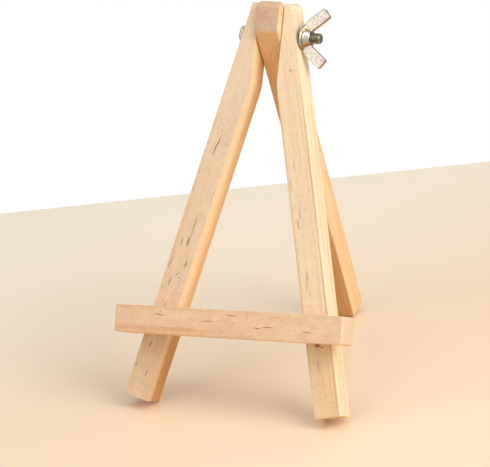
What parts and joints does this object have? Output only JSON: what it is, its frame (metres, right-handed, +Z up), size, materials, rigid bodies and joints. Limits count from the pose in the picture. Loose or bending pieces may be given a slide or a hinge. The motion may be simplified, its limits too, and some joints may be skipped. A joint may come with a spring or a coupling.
{
  "type": "table easel",
  "caption": "Small wooden A-frame display easel with a front ledge and a rear leg that folds on a bolt clamped by a wing nut.",
  "frame": {"origin": "on the table, at the middle of the easel's footprint", "axes": "+Z up, -Y towards the viewer of the picture, +X to that viewer's right, where the wing nut is"},
  "size_m": [0.0902, 0.1136, 0.1396],
  "materials": {
    "left_leg_wood": "bare sanded beech, fine saw marks across the grain",
    "right_leg_wood": "bare sanded beech, straight pale growth lines",
    "ledge_wood": "bare sanded beech, short dark flecks along the grain",
    "rear_leg_wood": "bare sanded beech, warm, sawn bevel at the top",
    "bolt_zinc": "dull olive-grey plated steel",
    "nut_zinc": "glossy zinc plate with a faint yellow iridescence"
  },
  "bodies": {
    "front_frame": {"front_leg_left": "left_leg_wood", "front_leg_right": "right_leg_wood", "ledge": "ledge_wood"},
    "rear_leg": {"rear_leg": "rear_leg_wood"},
    "bolt": {"pivot_bolt": "bolt_zinc"},
    "nut": {"wing_nut": "nut_zinc"}
  },
  "joints": [
    {"name": "rear_leg_fold", "type": "hinge", "parent": "front_frame", "child": "rear_leg", "pos_m": [0, 0.00503, 0.12616], "axis": [1, 0, 0], "range_deg": [-45.2, 44.5]},
    {"name": "nut_turn", "type": "hinge", "parent": "front_frame", "child": "nut", "pos_m": [0.0117, 0.00503, 0.12616], "axis": [1, 0, 0], "range_deg": [0, 1800]},
    {"name": "bolt_slide", "type": "slide", "parent": "front_frame", "child": "bolt", "axis": [-1, 0, 0], "range_m": [0, 0.0035]}
  ],
  "couplings": [
    {"joint": "nut_turn", "follows": "bolt_slide", "rad_per_m": 8976}
  ]
}
